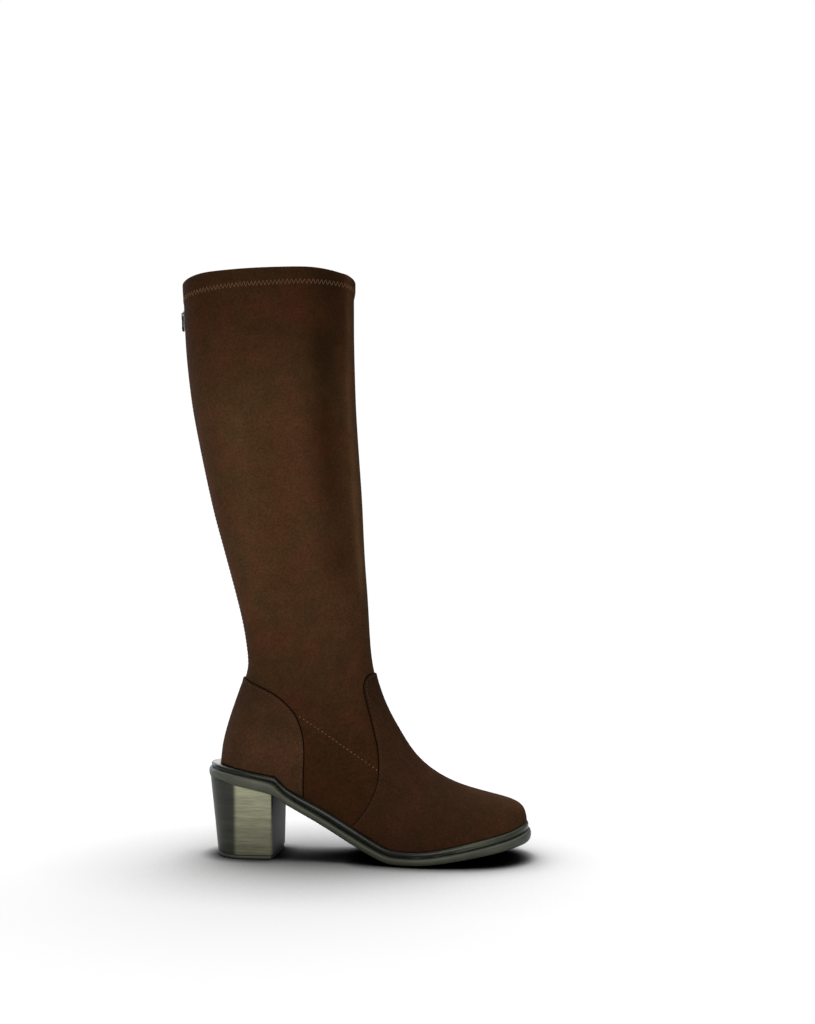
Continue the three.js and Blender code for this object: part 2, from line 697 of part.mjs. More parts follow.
const boot = new THREE.Group();
boot.add(
  named("outsole", outsole, soleRubber),
  named("welt", makeWelt(), weltRubber),
  named("heel", makeHeel(), stackedHeel),
  named("heel_tip", makeHeelTip(), tipRubber),
  named("insole", makeInsole(), lining),
  named("upper", makeUpper(), stretchSuede),
  named("vamp", makeVamp(), suede),
  named("counter", makeCounter(), suede),
  named("zip_tape", makeZipTape(), zipCloth),
  named("zip_chain", makeZipChain(), zipNylon),
);

const mount = backAt(collarHeight - sliderDrop);
const sliderPlace = new THREE.Group();
sliderPlace.position.copy(mount.point);
sliderPlace.rotation.set(0, mount.lean, Math.PI);
sliderPlace.add(named("zip_slider", makeSlider(), nickel));
boot.add(sliderPlace);

const pullPlace = new THREE.Group();
const outwards = new THREE.Vector3(axisDepth, 0, 0).applyEuler(sliderPlace.rotation);
pullPlace.position.copy(mount.point).add(outwards);
pullPlace.rotation.set(0, 0, Math.PI);
pullPlace.add(named("zip_pull", makePull(), gunmetal));
boot.add(pullPlace);

// The frame's origin is on the ground, under the middle of the boot's box.
const bounds = new THREE.Box3().setFromObject(boot);
const middle = bounds.getCenter(new THREE.Vector3());
boot.position.set(-middle.x, -middle.y, -bounds.min.z);

export default boot;
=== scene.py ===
import math

import bmesh
import bpy
from mathutils import Matrix, Vector, noise
from mathutils.bvhtree import BVHTree


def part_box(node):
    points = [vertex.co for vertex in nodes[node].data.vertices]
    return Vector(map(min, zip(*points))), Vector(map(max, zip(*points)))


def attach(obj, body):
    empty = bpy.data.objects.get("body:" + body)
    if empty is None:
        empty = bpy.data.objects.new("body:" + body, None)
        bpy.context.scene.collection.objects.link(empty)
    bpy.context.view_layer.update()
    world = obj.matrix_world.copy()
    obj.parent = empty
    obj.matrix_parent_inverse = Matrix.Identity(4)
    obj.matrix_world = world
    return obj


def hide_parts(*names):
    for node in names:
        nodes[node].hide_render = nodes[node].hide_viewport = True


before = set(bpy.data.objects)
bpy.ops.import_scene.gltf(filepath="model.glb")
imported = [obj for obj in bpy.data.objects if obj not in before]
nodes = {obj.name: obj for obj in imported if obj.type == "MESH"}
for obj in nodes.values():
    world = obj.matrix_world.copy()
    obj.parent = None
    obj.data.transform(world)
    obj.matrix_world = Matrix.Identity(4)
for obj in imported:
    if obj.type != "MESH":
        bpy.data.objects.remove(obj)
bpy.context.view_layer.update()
mm = 0.001
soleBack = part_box("outsole")[0].x  # the boot's own x starts at the back of the sole
print("frame loaded")


# x from the back of the sole, y to the inner side, z from the floor, in mm
def bootPoint(x, y, z):
    return Vector((soleBack + x * mm, y * mm, z * mm))


# the other way round: the three measures of a place in the scene
def bootMeasures(place):
    return (place.x - soleBack) / mm, place.y / mm, place.z / mm


# Camera, level with the toe and a little above the ankle, looking slightly back and up

cameraSetup = {
    "place": (242, -876, 185),
    "up": 0.088,
    "turn": 0.0985,
    "lens": 39.73,
    "sensor": 36,
}


def setCamera(setup):
    data = bpy.data.cameras.new("photoCamera")
    data.lens = setup["lens"]
    data.sensor_width = setup["sensor"]
    camera = bpy.data.objects.new("photoCamera", data)
    camera.location = bootPoint(*setup["place"])
    camera.rotation_euler = (math.pi / 2 + setup["up"], 0, setup["turn"])
    bpy.context.scene.collection.objects.link(camera)
    bpy.context.scene.camera = camera


setCamera(cameraSetup)


# Small helpers for meshes

mergeWithin = 0.004 * mm


def meshOf(name, bm):
    mesh = bpy.data.meshes.new(name)
    bm.to_mesh(mesh)
    bm.free()
    return mesh


def newPiece(name, bm):
    piece = bpy.data.objects.new(name, meshOf(name, bm))
    bpy.context.scene.collection.objects.link(piece)
    return piece


def copyOfNode(nodeName):
    bm = bmesh.new()
    bm.from_mesh(nodes[nodeName].data)
    bmesh.ops.remove_doubles(bm, verts=bm.verts, dist=mergeWithin)
    return bm


# a copy in quads, which subdivides more evenly than triangles, with a crease on its sharp edges
def creasedCopyOfNode(nodeName, creaseFrom, crease, joinAngle=40, squareness=178):
    bm = copyOfNode(nodeName)
    bmesh.ops.join_triangles(
        bm,
        faces=bm.faces,
        angle_face_threshold=math.radians(joinAngle),
        angle_shape_threshold=math.radians(squareness),
    )
    layer = bm.edges.layers.float.get("crease_edge") or bm.edges.layers.float.new("crease_edge")
    for edge in bm.edges:
        if len(edge.link_faces) == 2 and edge.calc_face_angle(0) > math.radians(creaseFrom):
            edge[layer] = crease
    return bm


def bevelEdges(bm, edges, radius, segments, clamped=False):
    bmesh.ops.bevel(
        bm,
        geom=edges,
        offset=radius * mm,
        segments=segments,
        profile=0.5,
        affect="EDGES",
        material=-1,
        clamp_overlap=clamped,
    )


def applyModifiers(piece):
    depsgraph = bpy.context.evaluated_depsgraph_get()
    done = bpy.data.meshes.new_from_object(piece.evaluated_get(depsgraph))
    piece.modifiers.clear()
    piece.data = done


def smoothed(piece, levels=2, angle=40):
    if levels:
        subdivision = piece.modifiers.new("Subdivision", "SUBSURF")
        subdivision.levels = subdivision.render_levels = levels
    applyModifiers(piece)
    piece.data.shade_smooth()
    piece.data.set_sharp_from_angle(angle=math.radians(angle))
    return piece


def dress(piece, body, material, replaced=()):
    piece.data.materials.clear()
    piece.data.materials.append(material)
    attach(piece, body)
    if replaced:
        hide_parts(*replaced)
    return piece


def treeOf(piece):
    bm = bmesh.new()
    bm.from_mesh(piece.data)
    tree = BVHTree.FromBMesh(bm)
    bm.free()
    return tree


# reads a table of (place, value) between its rows, and holds its end values beyond them
def along(table, at):
    for (low, first), (high, second) in zip(table, table[1:]):
        if at <= high:
            return first + (second - first) * max(0, at - low) / (high - low)
    return table[-1][1]


def smoothStep(value):
    value = min(max(value, 0), 1)
    return value * value * (3 - 2 * value)


# Materials. Patterns are sized in mm, and a piece's own attribute holds painted light and shade: where it is
# painted lighter or darker


def linear(hexColour):
    channels = [int(hexColour[i : i + 2], 16) / 255 for i in (1, 3, 5)]
    return (*[c / 12.92 if c <= 0.04045 else ((c + 0.055) / 1.055) ** 2.4 for c in channels], 1)


# how many marks of this size in mm fit in a metre, which is a texture's scale
def perMetre(size):
    return 1 / (size * mm)


# a socket is given a value, another socket, or a node whose first output it takes; stops are a ramp's colours
def addNode(tree, kind, sockets=None, stops=(), **settings):
    node = tree.nodes.new(kind)
    for name, value in settings.items():
        setattr(node, name, value)
    for name, value in (sockets or {}).items():
        if isinstance(value, bpy.types.Node):
            value = value.outputs[0]
        if isinstance(value, bpy.types.NodeSocket):
            tree.links.new(value, node.inputs[name])
        else:
            node.inputs[name].default_value = value
    for i, (place, colour) in enumerate(stops):
        elements = node.color_ramp.elements
        element = elements[i] if i < len(elements) else elements.new(place)
        element.position = place
        element.color = linear(colour)
    return node


def startMaterial(name):
    material = bpy.data.materials.new(name)
    material.use_nodes = True
    material.node_tree.nodes.clear()
    return material, material.node_tree


def finishMaterial(tree, sockets):
    shader = addNode(tree, "ShaderNodeBsdfPrincipled", sockets)
    addNode(tree, "ShaderNodeOutputMaterial", {"Surface": shader})


# mix nodes for colours: their factor, A and B are sockets 0, 6 and 7, and the colour is output 2
overlay = {"data_type": "RGBA", "blend_type": "OVERLAY"}
multiply = {"data_type": "RGBA", "blend_type": "MULTIPLY"}
blend = {"data_type": "RGBA", "blend_type": "MIX"}


def makeSuede(name, olive, middle, red):
    # Brushed microfibre suede: a short matt nap that lies in soft blotches, redder where it stands up
    material, tree = startMaterial(name)
    place = addNode(tree, "ShaderNodeTexCoord").outputs["Object"]
    blotches = addNode(
        tree,
        "ShaderNodeTexNoise",
        {"Vector": place, "Scale": perMetre(30), "Detail": 3.5, "Roughness": 0.6, "Distortion": 0.5},
    )
    patches = addNode(
        tree,
        "ShaderNodeTexNoise",
        {"Vector": place, "Scale": perMetre(11), "Detail": 3, "Roughness": 0.6},
    )
    nap = addNode(
        tree,
        "ShaderNodeTexNoise",
        {"Vector": place, "Scale": perMetre(1.5), "Detail": 3, "Roughness": 0.75},
    )
    # real nap is about 0.1 mm and is drawn coarser to show
    fine = addNode(
        tree,
        "ShaderNodeTexNoise",
        {"Vector": place, "Scale": perMetre(0.8), "Detail": 2, "Roughness": 0.6},
    )
    dye = addNode(tree, "ShaderNodeValToRGB", {"Fac": blotches}, [(0.32, olive), (0.49, middle), (0.66, red)])
    patchTone = addNode(tree, "ShaderNodeValToRGB", {"Fac": patches}, [(0.3, "#6c6c6c"), (0.7, "#949494")])
    grainTone = addNode(tree, "ShaderNodeValToRGB", {"Fac": nap}, [(0.3, "#484848"), (0.7, "#b4b4b4")])
    patched = addNode(tree, "ShaderNodeMix", {0: 0.5, 6: dye, 7: patchTone}, **overlay).outputs[2]
    brushed = addNode(tree, "ShaderNodeMix", {0: 0.6, 6: patched, 7: grainTone}, **overlay).outputs[2]
    # painted light and shade from the piece's attribute, and warmer where it is painted dark
    paintedTone = addNode(tree, "ShaderNodeAttribute", attribute_name="paintedLightAndShade")
    shadeWarmth = addNode(tree, "ShaderNodeValToRGB", {"Fac": paintedTone}, [(0.45, "#fff0e2"), (0.95, "#ffffff")])
    shaded = addNode(tree, "ShaderNodeMix", {0: 1.0, 6: brushed, 7: paintedTone}, **multiply).outputs[2]
    colour = addNode(tree, "ShaderNodeMix", {0: 1.0, 6: shaded, 7: shadeWarmth}, **multiply).outputs[2]
    relief = addNode(tree, "ShaderNodeBump", {"Height": fine, "Strength": 0.4, "Distance": 0.25 * mm})
    finishMaterial(
        tree,
        {
            "Base Color": colour,
            "Normal": relief,
            "Roughness": 0.95,
            "IOR": 1.4,
            "Specular IOR Level": 0.04,
            "Sheen Weight": 0.025,
            "Sheen Roughness": 0.4,
            "Sheen Tint": linear("#a0704f"),
        },
    )
    return material


# one colour all over; grain is the size of its bumps in mm, how strongly they show and their depth in mm
def makePlain(name, colour, roughness, sockets=None, grain=None):
    material, tree = startMaterial(name)
    look = {"Base Color": linear(colour), "Roughness": roughness, **(sockets or {})}
    if grain:
        size, strength, depth = grain
        place = addNode(tree, "ShaderNodeTexCoord").outputs["Object"]
        pits = addNode(
            tree,
            "ShaderNodeTexNoise",
            {"Vector": place, "Scale": perMetre(size), "Detail": 2, "Roughness": 0.55},
        )
        look["Normal"] = addNode(
            tree,
            "ShaderNodeBump",
            {"Height": pits, "Strength": strength, "Distance": depth * mm},
        )
    finishMaterial(tree, look)
    return material


# painted light and shade along the piece from its attribute, with fine marks from its making; clouds give the
# size in mm and the lighter tone of a colour that isn't quite even
def makePaintedShineMaterial(name, look, colour, grain, clouds=None):
    material, tree = startMaterial(name)
    place = addNode(tree, "ShaderNodeTexCoord").outputs["Object"]
    tone = linear(colour)
    if clouds:
        cloudSize, lighter = clouds
        cloud = addNode(
            tree,
            "ShaderNodeTexNoise",
            {"Vector": place, "Scale": perMetre(cloudSize), "Detail": 2, "Roughness": 0.55},
        )
        tone = addNode(tree, "ShaderNodeValToRGB", {"Fac": cloud}, [(0.3, colour), (0.7, lighter)])
    paintedShineAndShade = addNode(tree, "ShaderNodeAttribute", attribute_name="paintedShineAndShade")
    shoneAndShaded = addNode(tree, "ShaderNodeMix", {0: 1.0, 6: tone, 7: paintedShineAndShade}, **multiply).outputs[2]
    size, strength, depth = grain
    marks = addNode(
        tree,
        "ShaderNodeTexNoise",
        {"Vector": place, "Scale": perMetre(size), "Detail": 2, "Roughness": 0.55},
    )
    relief = addNode(tree, "ShaderNodeBump", {"Height": marks, "Strength": strength, "Distance": depth * mm})
    finishMaterial(tree, {"Base Color": shoneAndShaded, "Normal": relief, "IOR": 1.5, **look})
    return material


heelStackSetup = {
    "streak": (0.06, 0.06, 1.0),  # draws the marks out level
    "line": 0.9,
    "layer": 4.2,
    # the painted shade round the back: its bluish colour, and the x over which it fades out
    "paintedShadeColour": (0.17, 0.18, 0.2, 1),
    "paintedShadeEnd": (25.5, 29.5),  # the dark back fades out between these
}


def makeHeelStack(setup):
    # A block in film, printed like stacked leather and lacquered: fine level lines, and a painted shade round
    # the back
    material, tree = startMaterial("lacqueredStack")
    place = addNode(tree, "ShaderNodeTexCoord").outputs["Object"]
    level = addNode(tree, "ShaderNodeMapping", {"Vector": place, "Scale": setup["streak"]})
    lines = addNode(
        tree,
        "ShaderNodeTexNoise",
        {"Vector": level, "Scale": perMetre(setup["line"]), "Detail": 3, "Roughness": 0.65},
    )
    layers = addNode(
        tree,
        "ShaderNodeTexNoise",
        {"Vector": level, "Scale": perMetre(setup["layer"]), "Detail": 2, "Roughness": 0.5},
    )
    layerTone = addNode(tree, "ShaderNodeValToRGB", {"Fac": layers}, [(0.3, "#5a5c4c"), (0.7, "#6c6e5c")])
    lineTone = addNode(tree, "ShaderNodeValToRGB", {"Fac": lines}, [(0.35, "#4c4c4c"), (0.65, "#b0b0b0")])
    lined = addNode(tree, "ShaderNodeMix", {0: 0.45, 6: layerTone, 7: lineTone}, **overlay).outputs[2]
    # painted light and shade from the block's attribute
    paintedShineAndShade = addNode(tree, "ShaderNodeAttribute", attribute_name="paintedShineAndShade")
    bright = addNode(tree, "ShaderNodeMix", {0: 1.0, 6: lined, 7: paintedShineAndShade}, **multiply).outputs[2]
    # the painted shade round the back, which the sides fade into
    dark = addNode(tree, "ShaderNodeMix", {0: 1.0, 6: lined, 7: setup["paintedShadeColour"]}, **multiply).outputs[2]
    ahead = addNode(tree, "ShaderNodeSeparateXYZ", {"Vector": place}).outputs["X"]
    start, end = [soleBack + x * mm for x in setup["paintedShadeEnd"]]
    side = addNode(
        tree,
        "ShaderNodeMapRange",
        {"Value": ahead, "From Min": start, "From Max": end},
        interpolation_type="SMOOTHSTEP",
    )
    colour = addNode(tree, "ShaderNodeMix", {0: side, 6: dark, 7: bright}, **blend).outputs[2]
    relief = addNode(tree, "ShaderNodeBump", {"Height": lines, "Strength": 0.15, "Distance": 0.12 * mm})
    finishMaterial(
        tree,
        {"Base Color": colour, "Normal": relief, "Roughness": 0.42, "IOR": 1.5, "Specular IOR Level": 0.2},
    )
    return material


# Stretch suede for the shaft, a firmer one for the heel and another for the vamp, each darker by painted
# shade: a little on the heel, much on the vamp
stretchSuede = makeSuede("stretchSuede", "#473420", "#4c3420", "#523422")
counterSuedeInPaintedShade = makeSuede("counterSuedeInPaintedShade", "#412f20", "#453020", "#4b3222")
vampSuedeInPaintedShade = makeSuede("vampSuedeInPaintedShade", "#322214", "#362315", "#3c2518")

# Acrylic edge paint on the cut edge, with the painted shadow that the edge casts on the upper: one flat line,
# nearly black
edgePaintAndPaintedShadow = makePlain("edgePaintAndPaintedShadow", "#0d0704", 0.95, {"Specular IOR Level": 0.02}, (0.8, 0.3, 0.1))

# Spun polyester thread: matt and slightly fuzzy, lighter than the suede at the hem, close to it on the seams
matt = {"Sheen Weight": 0.05, "Specular IOR Level": 0.1}
hemThread = makePlain("spunPolyesterThread", "#5d432f", 0.85, matt)
vampThread = makePlain("vampSeamThread", "#3a281b", 0.85, matt)
seamThread = makePlain("darkSeamThread", "#443224", 0.85, matt)

# Waxed polyester thread, the palest of them: a row of light dots
quarterThread = makePlain("waxedSeamThread", "#7b5f48", 0.85, matt)

# Knitted polyester, brushed on its face: soft and matt
knitted = {"Sheen Weight": 0.06, "Specular IOR Level": 0.1}
lining = makePlain("brushedKnitLining", "#4a3527", 0.9, knitted, (0.9, 0.4, 0.2))

# Hard rubber from a grained mould: dull, with a fine pitted face
tipRubber = makePlain("mouldedRubber", "#30312a", 0.7, None, (0.8, 0.3, 0.1))

# Woven polyester tape: flat and dark, with a fine weave
zipCloth = makePlain("wovenZipTape", "#231f1b", 0.85, matt, (0.5, 0.5, 0.15))

# Drawn nylon, wound to a coil: smooth and dark, with a faint light on each turn
zipNylon = makePlain("nylonCoil", "#171a18", 0.5, {"IOR": 1.53, "Specular IOR Level": 0.25})

# Cast zinc plated with nickel and tumbled: a soft grey shine
nickel = makePlain("satinNickel", "#5f6260", 0.32, {"Metallic": 1.0}, (3, 0.05, 0.05))

# Cast zinc plated with black nickel: dark, and lit only where it faces a lamp
gunmetal = makePlain("blackNickel", "#161716", 0.42, {"Metallic": 1.0}, (3, 0.05, 0.05))

# Thermoplastic rubber from a polished mould: satin, nearly even in colour, with very fine flow marks; painted
# light makes it lighter at the heel seat and the toe
satin = {"Roughness": 0.5, "Specular IOR Level": 0.2}
soleRubber = makePaintedShineMaterial("satinSoleRubber", satin, "#2e312a", (1.6, 0.12, 0.12), (22, "#383c33"))

# The same rubber, lacquered: near black, with a sharper shine and a painted highlight near the toe
lacquered = {"Roughness": 0.3, "Specular IOR Level": 0.15}
weltRubber = makePaintedShineMaterial("lacqueredWelt", lacquered, "#0e100c", (2.4, 0.1, 0.15), (16, "#151712"))

# Printed film, glued on the front of the heel: duller than the sides, and dark from a painted shade that
# deepens upward
filmed = {"Roughness": 0.5, "Specular IOR Level": 0.04}
heelWrap = makePaintedShineMaterial("heelBreastWrap", filmed, "#5b5f5e", (3, 0.1, 0.1))

heelStack = makeHeelStack(heelStackSetup)
print("materials made")


# Upper: the CAD shell made smooth, with the soft marks of wear and handling pressed into it, and painted
# light and shade on its face

upperSetup = {
    "creaseFrom": 45,
    "crease": 0.9,
    "collar": 446,
    "ankle": 147,
    # the front edge of the shaft and the middle of the leg, as rows of height and x
    "frontLine": [(147, 127.5), (200, 124), (257, 120), (304, 117), (352, 113.6), (470, 112.8)],
    "legAxis": [(100, 78), (147, 79), (250, 62), (350, 46), (470, 43)],
    # the turned edge: its depth outside and inside, and how far it swells, most in front
    "hem": {"drop": 13.0, "turnIn": 14, "frontRise": 4.5, "swell": 0.35, "frontSwell": 0.9, "soft": 2.0},
    # how far the collar rises at its front and at its back, and from which height on
    "lift": [{"height": 1.5, "at": 92, "reach": 22}, {"height": 1.3, "at": -5, "reach": 20}],
    "liftFade": {"from": 395, "over": 45},
    # an uneven sway in blotches of this size, which ends below the hem
    "sway": {"size": 70, "depth": 0.9, "top": 430, "over": 60},
    # ridges and troughs that run down the shaft: how far in from the front edge, and their reach in height
    "folds": [
        {"in": 4.5, "width": 2.2, "depth": 0.9, "low": 215, "high": 475, "side": -1},
        {"in": 15.0, "width": 10.5, "depth": -1.1, "low": 225, "high": 470, "side": -1},
        {"in": 4.5, "width": 2.2, "depth": 0.8, "low": 250, "high": 475, "side": 1},
        {"in": 16.0, "width": 10.5, "depth": -1.1, "low": 250, "high": 465, "side": 1},
        {"in": 96.0, "width": 9.0, "depth": -0.9, "low": 215, "high": 380, "side": -1},
        {"in": 100.0, "width": 9.0, "depth": -0.8, "low": 230, "high": 390, "side": 1},
    ],
    "foldFade": {"from": 155, "over": 60},
    "sidePush": 2.0,  # how much more y counts than x in the direction that a fold is pushed
    # painted light and shade at each height, and in painted bands beside the front edge: shade along the
    # front, a highlight at the near side's very edge, and light further back
    "tone": [
        (60, 0.56),
        (90, 0.63),
        (118, 0.75),
        (145, 0.86),
        (175, 0.94),
        (215, 1.0),
        (330, 1.0),
        (370, 0.84),
        (405, 0.64),
        (446, 0.55),
    ],
    "paintedLightAndShadeBands": [
        {"in": 18.0, "width": 12.5, "change": -0.29, "low": 185, "high": 480},
        {"in": 17.0, "width": 13.5, "change": -0.09, "low": 260, "high": 470},
        {"in": 2.6, "width": 1.9, "change": 0.95, "low": 180, "high": 480, "side": -1},
        {"in": 88.0, "width": 16.0, "change": 0.2, "low": 150, "high": 360},
    ],
    "uneven": {"share": 0.7, "size": 26},  # how patchy the bands are, in patches of this size
    # a face of the foot is an inner one where a ray from it meets the upper again, but not at once
    "inner": {"start": 0.1, "reach": 240, "least": 4},
}
bandFade = {"low": 45, "high": 36}  # the height over which a fold or a band fades out at each end


# how strong a fold or a tone band is at a place
def bandStrength(band, x, z, frontX):
    start = smoothStep((z - band["low"]) / bandFade["low"])
    end = smoothStep((band["high"] - z) / bandFade["high"])
    return start * end * math.exp(-(((frontX - band["in"] - x) / band["width"]) ** 2))


def liftAt(setup, x, z):
    fade = setup["liftFade"]
    rise = 0.0
    for bump in setup["lift"]:
        rise += bump["height"] * math.exp(-(((x - bump["at"]) / bump["reach"]) ** 2))
    return rise * smoothStep((z - fade["from"]) / fade["over"])


def pressFolds(piece, setup):
    hem, sway, foldFade = setup["hem"], setup["sway"], setup["foldFade"]
    for vert in piece.data.vertices:
        x, y, z = bootMeasures(vert.co)
        fade = smoothStep((z - foldFade["from"]) / foldFade["over"])
        if not fade:
            continue
        frontX = along(setup["frontLine"], z)
        folds = [fold for fold in setup["folds"] if y * fold["side"] > 0]
        push = sum(fold["depth"] * bandStrength(fold, x, z, frontX) for fold in folds)
        unevenness = noise.noise(Vector((x, y, z)) / sway["size"])
        push += sway["depth"] * unevenness * smoothStep((sway["top"] - z) / sway["over"])
        out = Vector((x - along(setup["legAxis"], z), setup["sidePush"] * y, 0)).normalized()
        front = max(0, out.x)
        hemLow = setup["collar"] - hem["drop"] + hem["frontRise"] * front**2
        push += (hem["swell"] + hem["frontSwell"] * front**4) * smoothStep((z - hemLow) / hem["soft"])
        vert.co += out * push * fade * mm
        vert.co.z += liftAt(setup, x, z) * mm


# Toe: the sole grows a little deeper towards its tip, and lifts the foot of the upper with it
toeSetup = {
    # at each x, how far the foot is lifted, and the height of the sole's underside
    "rise": [(175, 0), (205, 1.6), (235, 2.8), (250, 5.2)],
    "foot": [(160, 0), (180, 1.5), (200, 4.3), (220, 7.6), (240, 11.7), (250, 14.5)],
    "soleDepth": 11.0,
    "weltTop": 10.0,  # over the underside: the lift is full up to here, and ends at the top
    "top": 52.0,
}


def liftToe(piece, setup):
    for vert in piece.data.vertices:
        x, _, z = bootMeasures(vert.co)
        rise = along(setup["rise"], x)
        if rise:
            foot = along(setup["foot"], x)
            above = smoothStep((setup["top"] - z) / (setup["top"] - foot - setup["weltTop"]))
            vert.co.z += rise * smoothStep((z - foot) / setup["soleDepth"]) * above * mm


# paints light and shade into a piece's colour as a tone: by height, towards the toe and in bands beside the
# front edge
def paintLightAndShade(piece, setup):
    tone = piece.data.attributes.new("paintedLightAndShade", "FLOAT", "POINT")
    for vert, value in zip(piece.data.vertices, tone.data):
        x, y, z = bootMeasures(vert.co)
        light = along(setup["tone"], z)
        if "paintedLightAhead" in setup:
            light *= along(setup["paintedLightAhead"], x)
        for band in setup.get("paintedLightAndShadeBands", []):
            if y * band.get("side", 0) >= 0:
                patch = noise.noise(Vector((x, y, z)) / setup["uneven"]["size"])
                change = band["change"] * (1 + setup["uneven"]["share"] * patch)
                light *= 1 + change * bandStrength(band, x, z, along(setup["frontLine"], z))
        value.value = light


# gives the inner wall the lining's material, up to where the hem is turned in
def lineInside(piece, setup, material):
    tree = treeOf(piece)
    inner = setup["inner"]
    piece.data.materials.append(material)
    for face in piece.data.polygons:
        x, y, z = bootMeasures(face.center)
        if z > setup["ankle"]:
            towardsAxis = Vector((along(setup["legAxis"], z) - x, -y, 0))
            hemLow = setup["collar"] - setup["hem"]["turnIn"] + liftAt(setup, x, z)
            inside = face.normal.dot(towardsAxis) > 0 and z < hemLow
        else:
            start = face.center + face.normal * inner["start"] * mm
            hit = tree.ray_cast(start, face.normal, inner["reach"] * mm)
            inside = hit[0] is not None and hit[3] > inner["least"] * mm
        if inside:
            face.material_index = 1


def makeUpper(setup):
    bm = creasedCopyOfNode("upper", setup["creaseFrom"], setup["crease"])
    piece = smoothed(newPiece("stretchUpper", bm))
    pressFolds(piece, setup)
    liftToe(piece, toeSetup)
    paintLightAndShade(piece, setup)
    dress(piece, "boot", stretchSuede, ["upper"])
    lineInside(piece, setup, lining)
    return piece


upper = makeUpper(upperSetup)
print("upper done")


# Overlays of vamp and counter: painted light and shade at each height, and painted light towards the toe

vampSetup = {
    "creaseFrom": 45,
    "crease": 1.0,
    "tone": [(12, 1.0), (30, 1.12), (60, 1.17), (90, 1.18), (110, 1.1), (137, 1.02)],
    "paintedLightAhead": [(150, 1.0), (190, 1.03), (212, 1.12), (230, 1.45)],
}
counterSetup = {
    "creaseFrom": 45,
    "crease": 1.0,
    "tone": [(50, 0.95), (80, 1.14), (105, 1.0), (130, 0.82)],
}


def makeOverlay(name, nodeName, material, setup):
    bm = creasedCopyOfNode(nodeName, setup["creaseFrom"], setup["crease"])
    piece = smoothed(newPiece(name, bm))
    liftToe(piece, toeSetup)
    paintLightAndShade(piece, setup)
    return dress(piece, "boot", material, [nodeName])


vamp = makeOverlay("vampOverlay", "vamp", vampSuedeInPaintedShade, vampSetup)
counter = makeOverlay("counterOverlay", "counter", counterSuedeInPaintedShade, counterSetup)
print("overlays done")


# Sole, welt and heel tip: each table is the painted light and shade along a piece at each x, as a factor on
# its colour: on the sole lighter at the heel seat and the toe, on the welt a painted highlight near the toe

outsoleSetup = {
    "creaseFrom": 60,
    "crease": 0.6,
    "paintedShineAndShade": [
        (0, 1.1),
        (18, 1.3),
        (45, 1.6),
        (60, 1.15),
        (110, 0.92),
        (170, 0.95),
        (200, 1.05),
        (235, 1.3),
    ],
}
weltSetup = {
    "creaseFrom": 75,
    "crease": 0.6,
    "paintedShineAndShade": [(0, 1.3), (60, 1.0), (150, 1.0), (185, 2.2), (205, 5.5), (222, 5.5), (250, 4.0)],
}
heelTipSetup = {"creaseFrom": 50, "crease": 0.9}


def makeSolePiece(name, nodeName, material, setup):
    bm = creasedCopyOfNode(nodeName, setup["creaseFrom"], setup["crease"])
    piece = smoothed(newPiece(name, bm))
    liftToe(piece, toeSetup)
    # paints light and shade into the piece's colour, read from its table by x
    if "paintedShineAndShade" in setup:
        paintedShineAndShade = piece.data.attributes.new("paintedShineAndShade", "FLOAT", "POINT")
        for vert, value in zip(piece.data.vertices, paintedShineAndShade.data):
            value.value = along(setup["paintedShineAndShade"], bootMeasures(vert.co)[0])
    return dress(piece, "boot", material, [nodeName])


makeSolePiece("outsoleUnit", "outsole", soleRubber, outsoleSetup)
welt = makeSolePiece("weltRib", "welt", weltRubber, weltSetup)
makeSolePiece("heelTopPiece", "heel_tip", tipRubber, heelTipSetup)

heelSetup = {
    # the block's lower and upper end: height, x of its back and half its breadth
    "bottom": {"z": 2.9, "back": 9.6, "half": 24.5},
    "top": {"zBack": 60.0, "zBreast": 51.0, "back": 3.4, "half": 27.7},
    "breast": 56.0,
    "uprightOver": 30,  # an edge that climbs more than this runs from end to end
    "backRound": {"radius": 23.0, "segments": 16},
    "breastRound": {"radius": 2.4, "segments": 5},
    "rimRound": {"radius": 0.5, "segments": 3},
    "rimFrom": 50,
    "levelCuts": 9,
    "breastFacing": 0.8,  # a face that looks ahead by more than this is the breast
    # painted light and shade on the block at each height: on the sides a painted reflection, bright high up
    # and dark at the foot; on the breast a painted shade that deepens upward
    "paintedShineAndShade": {
        "breast": [(0, 1.15), (20, 1.0), (42, 0.03)],
        "side": [(0, 0.68), (14, 0.95), (26, 1.35), (46, 2.0), (58, 2.3)],
    },
}


def uprightEdges(bm, setup):
    return [e for e in bm.edges if abs(e.verts[0].co.z - e.verts[1].co.z) > setup["uprightOver"] * mm]


